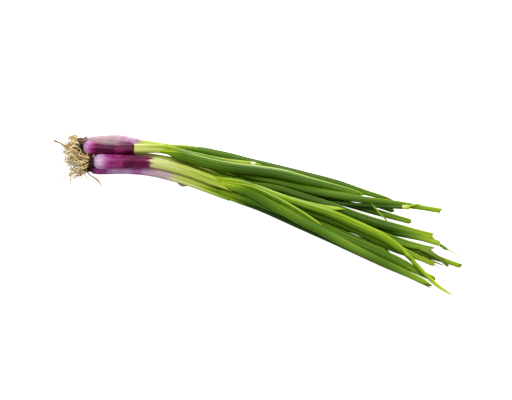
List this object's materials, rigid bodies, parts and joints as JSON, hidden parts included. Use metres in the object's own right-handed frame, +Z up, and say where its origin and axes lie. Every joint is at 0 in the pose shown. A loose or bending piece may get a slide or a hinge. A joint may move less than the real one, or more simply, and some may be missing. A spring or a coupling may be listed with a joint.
{
  "type": "spring onion bunch",
  "caption": "Loose bunch of red spring onions lying on its side: root tufts, purple bulbs fading to pale green stems, and long hollow green leaves that fan out to their tips.",
  "frame": {"origin": "on the table, under the middle of the bunch's bounding box", "axes": "+Z up, +X along the bunch from the roots to the leaf tips, +Y to its left"},
  "size_m": [0.4146, 0.0952, 0.0338],
  "materials": {
    "sheath": "satin skin, white at the base, purple to maroon, then yellow-green",
    "leaf": "waxy green leaf with fine lengthwise veins",
    "roots": "dry tan fibres",
    "old_skin": "dry dark brown skin"
  },
  "bodies": {
    "root": {"onion_1_stem": "sheath", "onion_1_roots": "roots", "onion_1_leaf_1": "leaf", "onion_1_leaf_2": "leaf", "onion_1_leaf_3": "leaf", "onion_2_stem": "sheath", "onion_2_roots": "roots", "onion_2_leaf_1": "leaf", "onion_2_leaf_2": "leaf", "onion_2_leaf_3": "leaf", "onion_3_stem": "sheath", "onion_3_roots": "roots", "onion_3_leaf_1": "leaf", "onion_3_leaf_2": "leaf", "onion_3_leaf_3": "leaf", "onion_4_stem": "sheath", "onion_4_roots": "roots", "onion_4_leaf_1": "leaf", "onion_4_leaf_2": "leaf", "onion_4_leaf_3": "leaf", "onion_5_stem": "sheath", "onion_5_roots": "roots", "onion_5_leaf_1": "leaf", "onion_5_leaf_2": "leaf", "onion_5_leaf_3": "leaf", "onion_6_stem": "sheath", "onion_6_roots": "roots", "onion_6_leaf_1": "leaf", "onion_6_leaf_2": "leaf", "onion_6_leaf_3": "leaf", "old_skin_1": "old_skin", "old_skin_2": "old_skin"}
  },
  "joints": []
}
